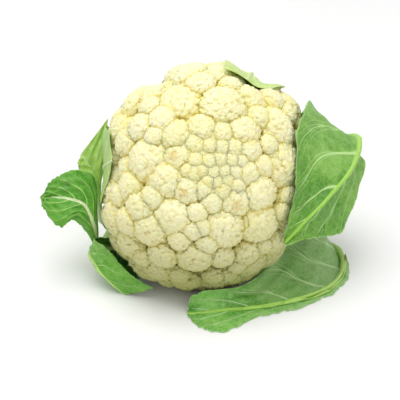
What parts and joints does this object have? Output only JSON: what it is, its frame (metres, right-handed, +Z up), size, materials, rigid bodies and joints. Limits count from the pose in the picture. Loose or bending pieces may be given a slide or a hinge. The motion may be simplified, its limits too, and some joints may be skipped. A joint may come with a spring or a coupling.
{
  "type": "cauliflower",
  "caption": "Whole head of cauliflower with a lumpy round curd, a cut stalk and trimmed wrapper leaves, lying tipped forward so that the curd faces the front.",
  "frame": {"origin": "middle of the bottom of the bounding box, on the surface that the head lies on", "axes": "+Z up, -Y towards the front, which the curd's crown faces and leans back from by about 37 degrees, +X to the right of someone who looks at the crown"},
  "size_m": [0.2494, 0.1791, 0.1614],
  "materials": {
    "curd": "ivory, grainy, softly translucent plant flesh",
    "stalk": "pale green, smooth plant skin with a dry cut end",
    "leaf": "green leaf with pale veins and a waxy bloom"
  },
  "bodies": {
    "root": {"curd": "curd", "stem": "stalk", "leaf_right": "leaf", "leaf_front": "leaf", "leaf_left": "leaf", "leaf_lower_left": "leaf", "leaf_upper_left": "leaf", "leaf_inner_left": "leaf", "leaf_top": "leaf", "trimmed_leaf_1": "leaf", "trimmed_leaf_2": "leaf", "trimmed_leaf_3": "leaf", "trimmed_leaf_4": "leaf", "trimmed_leaf_5": "leaf", "trimmed_leaf_6": "leaf", "trimmed_leaf_7": "leaf"}
  },
  "joints": []
}
